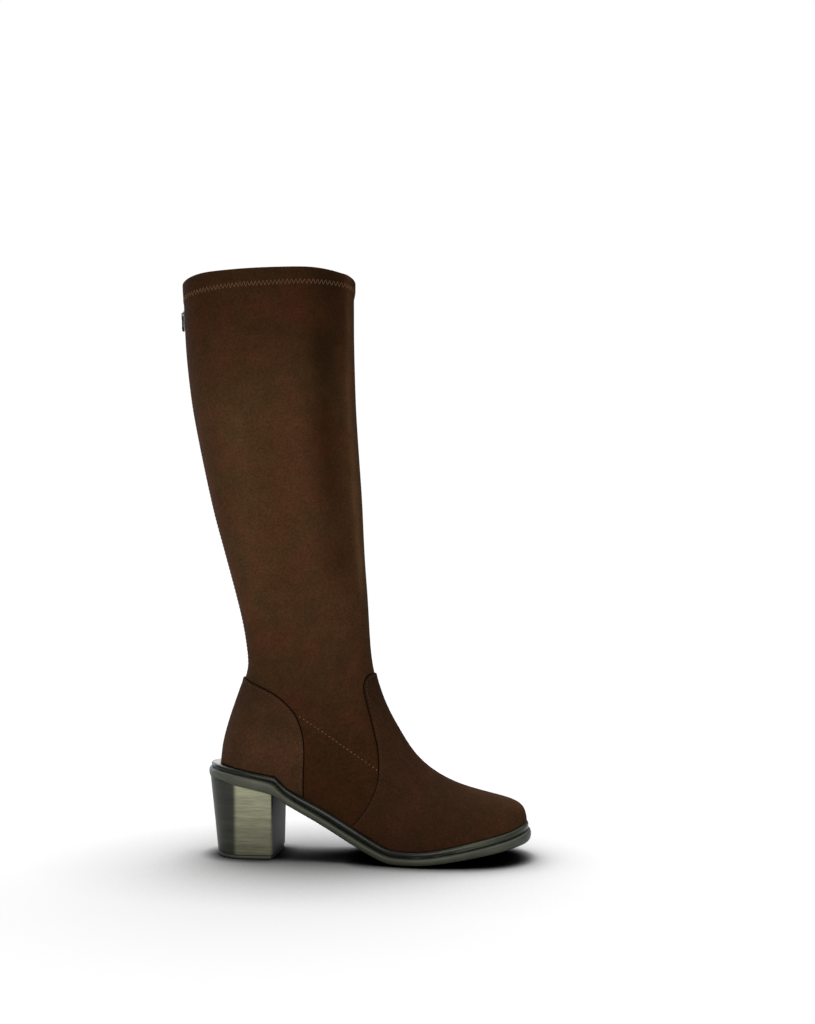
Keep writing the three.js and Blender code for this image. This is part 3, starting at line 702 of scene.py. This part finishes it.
def makeHeel(setup):
    bm = bmesh.new()
    bmesh.ops.create_cube(bm, size=2)
    bottom, top = setup["bottom"], setup["top"]
    for vert in bm.verts:
        ahead, above = vert.co.x > 0, vert.co.z > 0
        level = top if above else bottom
        x = setup["breast"] if ahead else level["back"]
        z = top["zBreast" if ahead else "zBack"] if above else bottom["z"]
        vert.co = bootPoint(x, vert.co.y * level["half"], z)
    middle = bootPoint(setup["breast"] / 2, 0, 0).x
    upright = uprightEdges(bm, setup)
    for isBack, rounding in ((True, setup["backRound"]), (False, setup["breastRound"])):
        edges = [e for e in upright if e.is_valid and (e.verts[0].co.x < middle) == isBack]
        bevelEdges(bm, edges, **rounding)
    rim = [e for e in bm.edges if e.calc_face_angle(0) > math.radians(setup["rimFrom"])]
    bevelEdges(bm, rim, **setup["rimRound"])
    bmesh.ops.subdivide_edges(bm, edges=uprightEdges(bm, setup), cuts=setup["levelCuts"], use_grid_fill=True)
    piece = smoothed(newPiece("heelBlock", bm), 0)
    # paints light and shade on each corner: the breast's table where a face looks ahead, the sides' table
    # elsewhere
    paintedShineAndShade = piece.data.attributes.new("paintedShineAndShade", "FLOAT", "CORNER")
    for loop, normal, value in zip(piece.data.loops, piece.data.corner_normals, paintedShineAndShade.data):
        table = setup["paintedShineAndShade"]["breast" if normal.vector.x > setup["breastFacing"] else "side"]
        value.value = along(table, piece.data.vertices[loop.vertex_index].co.z / mm)
    dress(piece, "boot", heelStack, ["heel"])
    piece.data.materials.append(heelWrap)
    for face in piece.data.polygons:
        face.material_index = face.normal.x > setup["breastFacing"]


makeHeel(heelSetup)
print("sole done")

for nodeName, material in (("insole", lining), ("zip_tape", zipCloth)):
    nodes[nodeName].data.materials.clear()
    nodes[nodeName].data.materials.append(material)


# Seams: a dark line round each overlay, edge paint and painted shadow in one, and stitches that are small
# plump threads on the surface

seamSetup = {
    # the outer edge is sharper than this angle and stands off the upper
    "edgeFrom": 50,
    "offUpper": 0.8,
    "fewestPoints": 8,
    # how far the painted edge and the row of stitches stop short of the welt
    "edgeClearOfSole": 0.6,
    "rowClearOfSole": 4.0,
    "paint": {"radius": 0.42, "out": 0.3, "proud": 0.12},
    "setIn": 1.6,
    "stitch": {"thread": 0.42, "pitch": 3.0, "share": 0.62, "rise": 0.02},
}
quarterSetup = {
    # x and z of the row, from the counter's edge to the vamp's
    "row": [(75.5, 107.0), (94, 95.4), (113, 82.6), (137.5, 66.2)],
    "outside": 120,
    "stitch": {"thread": 0.38, "pitch": 3.3, "share": 0.42, "rise": 0.02},
}
hemStitchSetup = {
    "drop": 12.4,
    "height": 4.2,
    "pitch": 3.5,
    "thread": 0.36,
    "proud": 0.1,
    "slant": 1.5,  # the row follows the collar, which is higher in front
    "radius": 61.0,
    # the row leaves this much open on each side of the zip, where the collar is this far from its middle
    "zipHalf": 5.6,
    "backRadius": 60,
    "outside": 120,
}


def ballShape(across, around):
    bm = bmesh.new()
    bmesh.ops.create_uvsphere(bm, u_segments=across, v_segments=around, radius=1)
    return meshOf("ballShape", bm)


def placeCopy(bm, shape, matrix):
    copy = shape.copy()
    copy.transform(matrix)
    bm.from_mesh(copy)
    bpy.data.meshes.remove(copy)


stitchShape = ballShape(6, 4)
coilShape = ballShape(8, 6)


def addStitch(bm, start, end, out, thickness):
    run = (end - start).normalized()
    across = out.cross(run).normalized()
    turn = Matrix((across, run.cross(across), run)).transposed().to_4x4()
    size = Matrix.Diagonal((thickness / 2, thickness / 2, (end - start).length / 2, 1))
    placeCopy(bm, stitchShape, Matrix.Translation((start + end) / 2) @ turn @ size)


# walks a path of places and normals and lays a stitch at each pitch
def stitchAlong(bm, path, stitch):
    travelled, start = 0.0, path[0][0]
    for (before, _), (place, normal) in zip(path, path[1:]):
        travelled += (place - before).length
        if travelled < stitch["pitch"] * mm:
            continue
        first = start.lerp(place, (1 - stitch["share"]) / 2)
        last = start.lerp(place, (1 + stitch["share"]) / 2)
        lift = normal * stitch["rise"] * mm
        addStitch(bm, first + lift, last + lift, normal, stitch["thread"] * mm)
        travelled, start = 0.0, place


# the runs of an overlay's outer edge that stand clear of the sole, each point with the direction into it
def edgeRuns(overlay, setup, clear):
    upperTree, weltTree = treeOf(upper), treeOf(welt)
    bm = bmesh.new()
    bm.from_mesh(overlay.data)
    chosen = {}
    for edge in bm.edges:
        if edge.calc_face_angle(0) < math.radians(setup["edgeFrom"]):
            continue
        if any(upperTree.find_nearest(v.co)[3] < setup["offUpper"] * mm for v in edge.verts):
            continue
        middle = (edge.verts[0].co + edge.verts[1].co) / 2
        if weltTree.find_nearest(middle)[3] < clear * mm:
            continue
        out = upperTree.find_nearest(middle)[1]
        face = max(edge.link_faces, key=lambda f: f.normal.dot(out))
        inward = face.normal.cross((edge.verts[1].co - edge.verts[0].co).normalized())
        if inward.dot(face.calc_center_median() - middle) < 0:
            inward.negate()
        for vert in edge.verts:
            chosen.setdefault(vert, []).append((edge, inward))
    runs = []
    ends = [v for v, links in chosen.items() if len(links) == 1] or list(chosen)[:1]
    seen = set()
    for start in ends:
        run, vert = [], start
        while vert:
            links = chosen[vert]
            run.append((vert.co.copy(), links[0][1]))
            ahead = [edge for edge, _ in links if edge not in seen]
            if not ahead:
                break
            seen.add(ahead[0])
            vert = ahead[0].other_vert(vert)
        if len(run) > setup["fewestPoints"]:
            runs.append(run)
    bm.free()
    return runs


# a path with a point at least at each step, in mm
def finely(path, step=0.3):
    fine = []
    for first, second in zip(path, path[1:]):
        count = max(1, int((second[0] - first[0]).length / (step * mm)))
        for i in range(count):
            fine.append(tuple(a.lerp(b, i / count) for a, b in zip(first, second)))
    return [*fine, path[-1]]


def tubeAlong(bm, path, radius):
    data = bpy.data.curves.new("tube", "CURVE")
    data.dimensions = "3D"
    data.bevel_depth = radius
    data.bevel_resolution = 1
    data.use_fill_caps = True
    spline = data.splines.new("POLY")
    spline.points.add(len(path) - 1)
    for point, place in zip(spline.points, path):
        point.co = (*place, 1)
    holder = bpy.data.objects.new("tube", data)
    bpy.context.scene.collection.objects.link(holder)
    made = bpy.data.meshes.new_from_object(holder.evaluated_get(bpy.context.evaluated_depsgraph_get()))
    bm.from_mesh(made)
    bpy.data.objects.remove(holder)
    bpy.data.meshes.remove(made)


def makeOverlaySeam(name, overlay, setup, thread):
    upperTree, overlayTree = treeOf(upper), treeOf(overlay)
    paint, edges, rows = setup["paint"], bmesh.new(), bmesh.new()
    # the dark line lies on the upper just outside the overlay's edge: painted shadow, with the edge paint
    for run in edgeRuns(overlay, setup, setup["edgeClearOfSole"]):
        foot = []
        for place, inward in run:
            base, normal, _, _ = upperTree.find_nearest(place - inward * paint["out"] * mm)
            foot.append(base + normal * paint["proud"] * mm)
        tubeAlong(edges, foot, paint["radius"] * mm)
    for run in edgeRuns(overlay, setup, setup["rowClearOfSole"]):
        path = [overlayTree.find_nearest(place + inward * setup["setIn"] * mm)[:2] for place, inward in run]
        stitchAlong(rows, finely(path), setup["stitch"])
    dress(smoothed(newPiece(name + "Edge", edges), 0), "boot", edgePaintAndPaintedShadow)
    dress(smoothed(newPiece(name + "Stitches", rows), 0), "boot", thread)


makeOverlaySeam("counter", counter, seamSetup, seamThread)
makeOverlaySeam("vamp", vamp, seamSetup, vampThread)


# a straight row of open stitches on each side of the upper, from counter to vamp
def makeQuarterStitches(setup):
    tree = treeOf(upper)
    bm = bmesh.new()
    for side in (-1, 1):
        path = []
        for x, z in setup["row"]:
            start = bootPoint(x, side * setup["outside"], z)
            path.append(tree.ray_cast(start, Vector((0, -side, 0)))[:2])
        path = [tree.find_nearest(place)[:2] for place, _ in finely(path)]
        stitchAlong(bm, path, setup["stitch"])
    dress(smoothed(newPiece("quarterStitches", bm), 0), "boot", quarterThread)


makeQuarterStitches(quarterSetup)


# zigzag round the hem, from one side of the zip to the other
def makeHemStitches(setup):
    tree = treeOf(upper)
    level = upperSetup["collar"] - setup["drop"]
    centre = bootPoint(along(upperSetup["legAxis"], level), 0, level)
    bm = bmesh.new()
    circle = 2 * math.pi
    count = round(circle * setup["radius"] / setup["pitch"] * 2)
    corners = []
    for i in range(count + 1):
        angle = math.pi + circle * i / count
        aim = Vector((math.cos(angle), math.sin(angle), 0))
        if aim.x < 0 and abs(aim.y) * setup["backRadius"] < setup["zipHalf"]:
            corners.append(None)
            continue
        slant = setup["slant"] * aim.x + upperSetup["hem"]["frontRise"] * max(0, aim.x) ** 2
        up = slant + (0.5 if i % 2 else -0.5) * setup["height"]
        start = centre + aim * setup["outside"] * mm + Vector((0, 0, up * mm))
        place, normal, _, _ = tree.ray_cast(start, -aim)
        corners.append((place + normal * setup["proud"] * mm, normal) if place is not None else None)
    for first, second in zip(corners, corners[1:]):
        if first and second:
            addStitch(bm, first[0], second[0], first[1], setup["thread"] * mm)
    dress(smoothed(newPiece("hemZigzag", bm), 0), "boot", hemThread)


makeHemStitches(hemStitchSetup)
print("stitches laid")


# Zip: rows of moulded coil, one from each side, over the CAD strip, and a row of stitches down each side

zipSetup = {
    "strip": 0.75,  # how far the strip is set in behind the coil
    "bottom": 138.5,
    "top": 442.5,
    "pitch": 1.5,
    # each turn of the coil: from its side to a little past the middle, its size and how far it stands out
    "reach": 2.8,
    "past": 0.55,
    "height": 0.8,
    "depth": 0.6,
    "proud": 0.5,
    "leanSpan": 8,  # the height over which the coil's lean is read
    "row": {"side": 7.2, "low": 142, "high": 432, "step": 3, "outside": 300},
}


# x of the zip's outer face at each height, from the chain's own points
def backLine():
    points = {}
    mesh = nodes["zip_chain"].data
    for face in mesh.polygons:
        if face.normal.x < -0.5:
            for index in face.vertices:
                place = mesh.vertices[index].co
                points[round(place.z / mm, 1)] = place.x / mm
    return sorted(points.items())


def makeZip(setup):
    bm = copyOfNode("zip_chain")
    bmesh.ops.translate(bm, verts=bm.verts, vec=(setup["strip"] * mm, 0, 0))
    outer = backLine()
    span = setup["leanSpan"]
    half = (setup["reach"] + setup["past"]) / 2
    z, side = setup["bottom"], -1
    while z < setup["top"]:
        x = along(outer, z) + setup["depth"] - setup["proud"]
        y = side * (setup["reach"] - setup["past"]) / 2
        lean = math.atan2(along(outer, z + span / 2) - along(outer, z - span / 2), span)
        turn = Matrix.Rotation(lean, 4, "Y")
        size = Matrix.Diagonal((setup["depth"] * mm, half * mm, setup["height"] / 2 * mm, 1))
        placeCopy(bm, coilShape, Matrix.Translation((x * mm, y * mm, z * mm)) @ turn @ size)
        side = -side
        z += setup["pitch"] / 2
    dress(smoothed(newPiece("zipCoil", bm), 0), "boot", zipNylon, ["zip_chain"])


def makeZipStitches(row):
    tree = treeOf(upper)
    bm = bmesh.new()
    for side in (-1, 1):
        path = []
        for z in range(row["low"], row["high"], row["step"]):
            start = Vector((-row["outside"] * mm, side * row["side"] * mm, z * mm))
            path.append(tree.ray_cast(start, Vector((1, 0, 0)))[:2])
        stitchAlong(bm, finely(path), seamSetup["stitch"])
    dress(smoothed(newPiece("zipStitches", bm), 0), "boot", seamThread)


makeZip(zipSetup)
makeZipStitches(zipSetup["row"])
print("zip laid")


# Zip hardware: the CAD pieces with rounded edges

hardwareSetup = {"flatWithin": 2, "edgeFrom": 35, "segments": 2, "sliderRound": 0.16, "pullRound": 0.18}


def makeHardware(name, nodeName, body, material, radius):
    setup = hardwareSetup
    bm = copyOfNode(nodeName)
    flat = math.radians(setup["flatWithin"])
    bmesh.ops.dissolve_limit(bm, angle_limit=flat, verts=bm.verts, edges=bm.edges)
    edges = [e for e in bm.edges if e.calc_face_angle(0) > math.radians(setup["edgeFrom"])]
    bevelEdges(bm, edges, radius, setup["segments"], clamped=True)
    dress(smoothed(newPiece(name, bm), 0, setup["edgeFrom"]), body, material, [nodeName])


makeHardware("zipSlider", "zip_slider", "boot", nickel, hardwareSetup["sliderRound"])
makeHardware("zipPullTab", "zip_pull", "pull", gunmetal, hardwareSetup["pullRound"])
print("zip hardware done")


# Studio: white paper with a painted contact shadow, a lit wall all round that only the camera sees, and a
# wide soft sky that leans back

# in metres, as the lamps are
studioSetup = {
    "radius": 6.0,
    "height": 7.0,
    "wallIn": 0.05,
    "sides": 64,
    "paper": 0.8,
    # layers of painted shadow on the paper: the reach and the strength of each
    "paintedShadow": [(0.14, 1.5), (0.015, 2.0)],  # the reach and the strength of each contact shade
    "ambient": 0.15,
    "sky": {"place": (-0.1, 0.62, 2.0), "spread": 66, "strength": 3.95},
}


def stageSheet(name, bm, material):
    sheet = newPiece(name, bm)
    sheet.data.materials.append(material)
    return sheet


def makePaper(setup):
    # Matt background paper with a painted shadow: its colour is darker where the boot keeps the light off it,
    # softly far off, sharply close by
    material, tree = startMaterial("paperWithPaintedShadow")
    paintedShadow = 1.0
    for reach, power in setup["paintedShadow"]:
        near = addNode(tree, "ShaderNodeAmbientOcclusion", {"Distance": reach}, samples=8).outputs["AO"]
        layer = addNode(tree, "ShaderNodeMath", {0: near, 1: power}, operation="POWER")
        paintedShadow = addNode(tree, "ShaderNodeMath", {0: paintedShadow, 1: layer}, operation="MULTIPLY")
    white = (setup["paper"],) * 3 + (1,)
    colour = addNode(tree, "ShaderNodeMix", {0: paintedShadow, 6: (0, 0, 0, 1), 7: white}, **blend).outputs[2]
    finishMaterial(tree, {"Base Color": colour, "Roughness": 0.9, "Specular IOR Level": 0.0})
    return material


def makeLitWall():
    # A wall lit evenly to plain white
    material, tree = startMaterial("litWall")
    glow = {"Base Color": (0, 0, 0, 1), "Emission Color": (1, 1, 1, 1), "Emission Strength": 1.0}
    finishMaterial(tree, glow)
    return material


def makeStudio(setup):
    bm = bmesh.new()
    bmesh.ops.create_circle(bm, cap_ends=True, segments=setup["sides"], radius=setup["radius"])
    floor = stageSheet("studioFloor", bm, makePaper(setup))
    bm = bmesh.new()
    bmesh.ops.create_circle(bm, segments=setup["sides"], radius=setup["radius"] - setup["wallIn"])
    raised = bmesh.ops.extrude_edge_only(bm, edges=bm.edges)["geom"]
    raised = [v for v in raised if isinstance(v, bmesh.types.BMVert)]
    bmesh.ops.translate(bm, verts=raised, vec=(0, 0, setup["height"]))
    wall = stageSheet("studioWall", bm, makeLitWall())
    wall.visible_diffuse = wall.visible_glossy = wall.visible_shadow = False
    return floor


# Lamps: a key in front, and two that lighten the boot's back and far side
lampSetup = {
    "keyFront": {
        "place": (0.0, -1.7, 0.7),
        "target": (0, 0, 0.2),
        "size": (0.9, 1.0),
        "power": 30,
        "colour": "#fff8f0",
    },
    "backLeft": {
        "place": (-1.1, 0.7, 0.5),
        "target": (-0.1, 0, 0.1),
        "size": (0.5, 0.9),
        "power": 8,
        "colour": "#dfeaff",
    },
    "backFill": {
        "place": (-0.5, 1.9, 0.9),
        "target": (0, 0, 0.2),
        "size": (1.2, 1.2),
        "power": 14,
        "colour": "#fffaf4",
    },
}


def placeLight(name, data, place, target):
    light = bpy.data.objects.new(name, data)
    light.location = place
    light.rotation_euler = (Vector(target) - Vector(place)).to_track_quat("-Z", "Y").to_euler()
    bpy.context.scene.collection.objects.link(light)
    return light


def addSky(setup):
    data = bpy.data.lights.new("softSky", "SUN")
    data.angle = math.radians(setup["spread"])
    data.energy = setup["strength"]
    placeLight("softSky", data, setup["place"], (0, 0, 0))


def addLamp(name, setup):
    data = bpy.data.lights.new(name, "AREA")
    data.shape = "RECTANGLE"
    data.size, data.size_y = setup["size"]
    data.energy = setup["power"]
    data.color = linear(setup["colour"])[:3]
    return placeLight(name, data, setup["place"], setup["target"])


# the lamps light all but the floor, which only the sky and the world light
def addLamps(setups, floor):
    allButFloor = bpy.data.collections.new("allButFloor")
    allButFloor.objects.link(floor)
    allButFloor.collection_objects[0].light_linking.link_state = "EXCLUDE"
    for name, setup in setups.items():
        addLamp(name, setup).light_linking.receiver_collection = allButFloor


def setWorld(strength):
    world = bpy.data.worlds.new("studioWorld")
    bpy.context.scene.world = world
    world.use_nodes = True
    background = world.node_tree.nodes["Background"]
    background.inputs["Color"].default_value = (1, 1, 1, 1)
    background.inputs["Strength"].default_value = strength


floor = makeStudio(studioSetup)
addSky(studioSetup["sky"])
addLamps(lampSetup, floor)
setWorld(studioSetup["ambient"])
bpy.context.scene.view_settings.view_transform = "Standard"
print("studio done")
